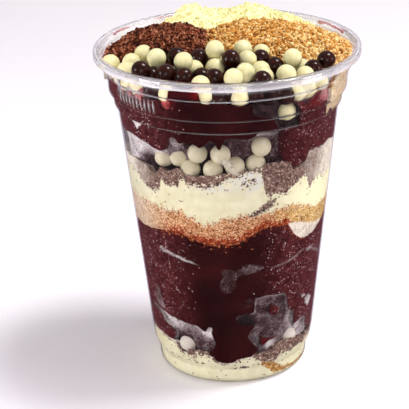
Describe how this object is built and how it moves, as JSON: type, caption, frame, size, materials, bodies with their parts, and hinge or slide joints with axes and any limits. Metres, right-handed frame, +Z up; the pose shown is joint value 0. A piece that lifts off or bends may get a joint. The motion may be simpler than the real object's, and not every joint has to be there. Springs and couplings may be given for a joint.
{
  "type": "acai cup",
  "caption": "Layered acai dessert in a clear tapered tumbler, heaped over the lip with crisp balls, cocoa crumbs, peanut crumbs and milk powder.",
  "frame": {"origin": "centre of the foot, on the table", "axes": "+Z up the cup's axis; the side that the picture shows faces -Y"},
  "size_m": [0.095, 0.095, 0.1278],
  "materials": {
    "clear_plastic": "clear",
    "milk_powder": "fine powder",
    "cocoa": "fine crumbs",
    "peanut": "crumbs",
    "acai": "frozen pulp",
    "candy_shell": "smooth chocolate shell"
  },
  "bodies": {
    "root": {"cup": "clear_plastic", "base_milk_powder": "milk_powder", "base_cocoa_crumbs": "cocoa", "lower_balls": "candy_shell", "lower_acai": "acai", "peanut_crumbs": "peanut", "milk_powder": "milk_powder", "cocoa_crumbs": "cocoa", "upper_balls": "candy_shell", "upper_acai": "acai", "ball_heap": "candy_shell", "cocoa_heap": "cocoa", "peanut_heap": "peanut", "powder_heap": "milk_powder"}
  },
  "joints": []
}
